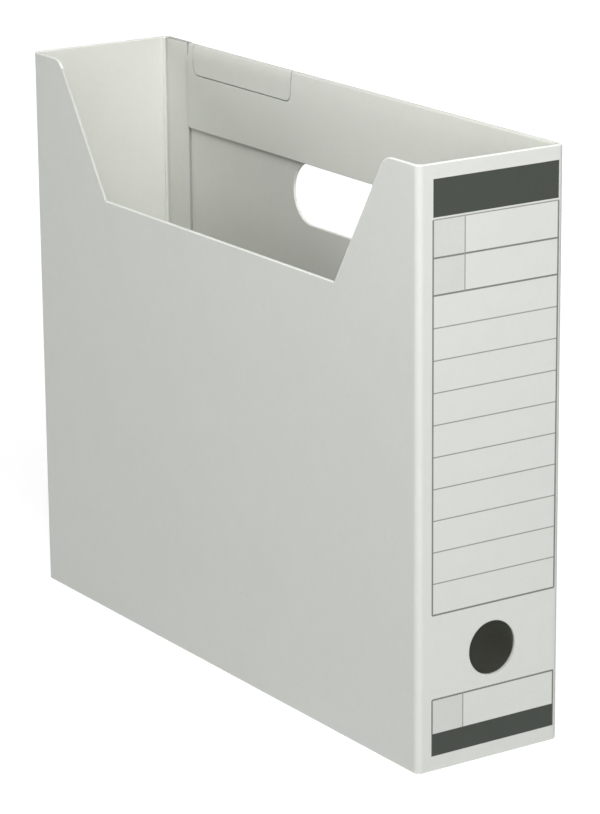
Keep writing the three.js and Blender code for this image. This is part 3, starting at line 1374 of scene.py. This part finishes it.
@dataclass
class BottomAssembly:
    """The bottom panel and its three tuck flaps.

    Attributes:
        swing_gap: gap between the panel and the near side, mm.
        slip_gap: gap between the panel and the end walls and glue flap, mm.
        tuck_depth: height of a flap over its fold, mm.
        tuck_margin: how much shorter than the panel a flap is at each end, besides one
            thickness of board, mm.
        corner_cut: length of the cut across a corner of the panel, along x and y, mm.
    """

    swing_gap: float = 1.0
    slip_gap: float = 0.5
    tuck_depth: float = 11.5
    tuck_margin: float = 2.0
    tuck_radius: float = 0.8
    corner_cut: float = FOLD_RADIUS

    @property
    def near_edge(self) -> float:
        """x of the panel's near edge."""
        return self.swing_gap + BOARD - HALF_WIDTH

    @property
    def far_edge(self) -> float:
        """x at which the panel narrows into its crease."""
        return FAR_INNER - BOARD - self.slip_gap

    @property
    def end_edge(self) -> float:
        """y of the panel's back edge."""
        return HALF_LENGTH - BOARD - self.slip_gap

    def panel(self) -> BoardSheet:
        """Cuts the panel, turned up at its crease to meet the foot of the far side.

        Returns:
            The sheet.
        """
        radius = BOARD + CREASE_GAP / 2
        bend = HALF_WIDTH - radius
        crease = bend + radius * QUARTER
        crease_end = PANEL_END - self.slip_gap
        near, far, end, cut = self.near_edge, self.far_edge, self.end_edge, self.corner_cut
        outline = [
            Corner(-end + cut, near), Corner(end - cut, near), Corner(end, near + cut),
            Corner(end, far - cut), Corner(crease_end, far),
            Corner(crease_end, crease, 0, Border.JOINED), Corner(-crease_end, crease, 0),
            Corner(-crease_end, far), Corner(-end, far - cut), Corner(-end, near + cut),
        ]

        def place(u: Array, v: Array, depth: Array) -> Array:
            """Past the bend the panel turns up through a quarter circle.

            Args:
                u: places along the box, mm.
                v: places across it, mm.
                depth: depths above the lower face, mm.

            Returns:
                Places in mm.
            """
            turn = np.clip((v - bend) / radius, 0, QUARTER)
            arm_length = radius - depth
            x = np.minimum(v, bend) + arm_length * np.sin(turn)
            return np.stack([x, u, radius - arm_length * np.cos(turn)], axis=1)

        loop = Loop.from_corners(outline, EDGE_ROUNDING)
        return BoardSheet("bottom_board", [loop], place, rows=crease_rows(bend, radius))

    def _flap(self, name: str, start: float, end: float, place: Placing) -> BoardSheet:
        """Cuts a tuck flap with 45 degree ends, on its fold line at v = 0.

        Args:
            name: name of the piece.
            start: u of its fold line's start, mm.
            end: u of its end, mm.
            place: stands the flap up.

        Returns:
            The sheet.
        """
        depth = self.tuck_depth
        outline = [
            Corner(start, 0), Corner(end, 0),
            Corner(end - depth, depth, self.tuck_radius),
            Corner(start + depth, depth, self.tuck_radius),
        ]
        return BoardSheet(name, [Loop.from_corners(outline, EDGE_ROUNDING)], place)

    def near_flap(self) -> BoardSheet:
        """Cuts the flap tucked inside the near side.

        Returns:
            The sheet.
        """
        reach = self.end_edge - BOARD - self.tuck_margin

        def place(u: Array, v: Array, depth: Array) -> Array:
            """Stands the flap with its outer face to the near side."""
            return np.stack([self.near_edge + depth, -u, v + FLAP_FOOT], axis=1)

        return self._flap("near_flap_board", -reach, reach, place)

    def end_flap(self, name: str, facing: float) -> BoardSheet:
        """Cuts a flap tucked inside the spine or the back end.

        Args:
            name: name of the piece.
            facing: -1 for the spine and 1 for the back end.

        Returns:
            The sheet.
        """
        margin = BOARD + self.tuck_margin
        low, high = self.near_edge + margin, self.far_edge - margin
        start, end = (low, high) if facing < 0 else (-high, -low)

        def place(u: Array, v: Array, depth: Array) -> Array:
            """Stands the flap with its outer face to the wall."""
            y = facing * (self.end_edge - depth)
            return np.stack([-facing * u, y, v + FLAP_FOOT], axis=1)

        return self._flap(name, start, end, place)

    def assemble(self, bench: Bench) -> None:
        """Fits the bottom and its flaps.

        Args:
            bench: where they are fixed.
        """
        bench.fit(self.panel(), "bottom_panel", "bottom")
        bench.fit(self.near_flap(), "bottom_flap_near", "flap_near")
        front = self.end_flap("front_flap_board", -1)
        bench.fit(front, "bottom_flap_front", "flap_front")
        back = self.end_flap("back_flap_board", 1)
        bench.fit(back, "bottom_flap_back", "flap_back")


# The studio


def bearing(azimuth: float, elevation: float) -> Vector:
    """Gives the unit vector towards a bearing in degrees, 0, 0 being in front of the spine."""
    a, e = math.radians(azimuth), math.radians(elevation)
    return Vector((math.sin(a) * math.cos(e), -math.cos(a) * math.cos(e), math.sin(e)))


@dataclass(frozen=True)
class SoftLight:
    """A soft rectangular lamp aimed at the box.

    Attributes:
        name: name of the lamp.
        azimuth: its bearing from the box, degrees, 0 in front of the spine.
        elevation: its height over the box, degrees.
        distance: its distance from the point it is aimed at, metres.
        size: its two sides, metres.
        level: how bright it makes a white sheet that faces it, 1 being white.
        aim: the point it is aimed at, metres.
    """

    name: str
    azimuth: float
    elevation: float
    distance: float
    size: tuple[float, float]
    level: float
    aim: tuple[float, float, float] = (0, 0, HEIGHT / 2 * MM)

    def hang(self) -> None:
        """Makes the lamp and turns it to its aim.

        A lamp of power P at distance d lights a white sheet to P over the square of pi d.
        """
        aim = Vector(self.aim)
        data = bpy.data.lights.new(self.name, "AREA")
        data.shape = "RECTANGLE"
        data.size, data.size_y = self.size
        data.energy = self.level * (math.pi * self.distance) ** 2
        lamp = bpy.data.objects.new(self.name, data)
        lamp.location = aim + bearing(self.azimuth, self.elevation) * self.distance
        lamp.rotation_euler = (aim - lamp.location).to_track_quat("-Z", "Y").to_euler()
        bpy.context.scene.collection.objects.link(lamp)


def background_rays(nodes: Nodes) -> bpy.types.NodeSocket:
    """Marks the rays that show the background as it is: from the camera, or off gloss or glass.

    Args:
        nodes: the nodes of the floor's material or of the world.

    Returns:
        A socket that is 1 for those rays and 0 for the ones that light the box.
    """
    path = nodes.add("LightPath").outputs
    marked = nodes.math("MAXIMUM", path["Is Camera Ray"], path["Is Glossy Ray"])
    return nodes.math("MAXIMUM", marked, path["Is Transmission Ray"])


@dataclass
class Studio:
    """Plain pale floor, soft light, and the camera that saw the box.

    Attributes:
        azimuth: bearing of the camera from the box, degrees, 0 in front of the spine.
        elevation: its height over the box, degrees.
        roll: how far it is turned about its line of sight, degrees.
        aside: how far it stands to its right of the line from the box's middle, mm.
        above: how far it stands above that line, mm.
        distance: how far along that line it stands, mm.
        focal_pixels: its focal length in pixels of a picture picture_height high.
        sight: how far it sees, metres.
        ambient: strength of the even light from all round.
        floor_half: half the side of the floor, metres.
        floor_drop: how far the floor lies below the foot of the box, mm.
        floor_glow: what is added to floor_tone where the floor is seen.
    """

    azimuth: float = -33.448
    elevation: float = 16.187
    roll: float = -0.494
    aside: float = 7.54
    above: float = -12.49
    distance: float = 1578.3
    focal_pixels: float = 3460.7
    picture_height: float = 814.0
    sensor: float = 36.0
    sight: float = 20.0
    ambient: float = 0.02
    floor_half: float = 6.0
    floor_drop: float = 0.05
    floor_tone: float = 0.6
    floor_glow: float = 0.65
    lamps: tuple[SoftLight, ...] = (
        SoftLight("key", -35, 45, 2.2, (0.9, 0.9), 0.32),
        SoftLight("front_high", -10, 35, 2.2, (0.9, 0.9), 0.31),
        SoftLight("front_low", -10, 15, 2.2, (0.9, 0.9), 0.20),
        SoftLight("side_low", -60, 15, 2.2, (0.9, 0.9), 0.175),
        SoftLight("spot", -35, 32, 2.2, (0.35, 0.35), 0.05),
        SoftLight("near_front", -30, 55, 0.55, (0.3, 0.3), 0.28, (0, -0.12, 0.25)),
        SoftLight("near_side", -60, 45, 0.55, (0.3, 0.3), 0.19, (0, 0, 0.2)),
        SoftLight("left_rim", -150, 15, 2.2, (0.9, 0.9), 0.29),
        SoftLight("right_rim", 125, 20, 2.2, (1.2, 1.0), 0.40),
    )

    def camera(self) -> None:
        """Places the camera from its angles and its offsets from the box's middle."""
        back = bearing(self.azimuth, self.elevation)
        a, r = math.radians(self.azimuth), math.radians(self.roll)
        level = Vector((math.cos(a), math.sin(a), 0))
        upright = back.cross(level)
        right = math.cos(r) * level + math.sin(r) * upright
        up = -math.sin(r) * level + math.cos(r) * upright
        middle = Vector((0, 0, HEIGHT / 2))
        place = middle + back * self.distance + right * self.aside + up * self.above
        data = bpy.data.cameras.new("camera")
        data.sensor_width = self.sensor
        data.lens = self.sensor * (self.focal_pixels / self.picture_height)
        data.clip_end = self.sight
        turned = Matrix((right, up, back)).transposed().to_4x4()
        camera = bpy.data.objects.new("camera", data)
        camera.matrix_world = Matrix.Translation(place * MM) @ turned
        bpy.context.scene.collection.objects.link(camera)
        bpy.context.scene.camera = camera

    def floor(self) -> None:
        """Lays a wide pale floor that keeps the box's shadow."""
        mesh = bpy.data.meshes.new("floor")
        half, level = self.floor_half, -self.floor_drop * MM
        corners = [(x * half, y * half, level) for x, y in ((-1, -1), (1, -1), (1, 1), (-1, 1))]
        mesh.from_pydata(corners, [], [(0, 1, 2, 3)])
        piece = bpy.data.objects.new("floor", mesh)
        bpy.context.scene.collection.objects.link(piece)
        made, nodes, shader = new_material("floor_white")
        nodes.feed(shader, {
            "Base Color": (self.floor_tone, self.floor_tone, self.floor_tone, 1),
            "Roughness": 0.9, "Specular IOR Level": 0.0, "Emission Color": WHITE,
            "Emission Strength": nodes.math("MULTIPLY", background_rays(nodes), self.floor_glow),
        })
        mesh.materials.append(made)

    def world(self) -> None:
        """Lights the box evenly, and shows white behind it."""
        made = bpy.data.worlds.new("studio")
        made.use_nodes = True
        nodes = Nodes(made.node_tree)
        levels = {"Value": background_rays(nodes), "To Min": self.ambient, "To Max": 1.0}
        strength = nodes.add("MapRange", levels).outputs["Result"]
        background = made.node_tree.nodes["Background"]
        nodes.feed(background, {"Color": WHITE, "Strength": strength})
        bpy.context.scene.world = made

    def build(self) -> None:
        """Sets up the whole studio."""
        self.camera()
        self.floor()
        self.world()
        for lamp in self.lamps:
            lamp.hang()
        bpy.context.scene.view_settings.view_transform = "Standard"


def main() -> None:
    """Builds the box and the studio round it."""
    logging.basicConfig(level=logging.INFO, format="%(name)s %(message)s")
    bench = Bench()
    for assembly in (Sleeve(), HemAssembly(), BottomAssembly()):
        assembly.assemble(bench)
    Studio().build()
    log.info("%d pieces", len(bench.pieces))


if __name__ == "__main__":
    main()
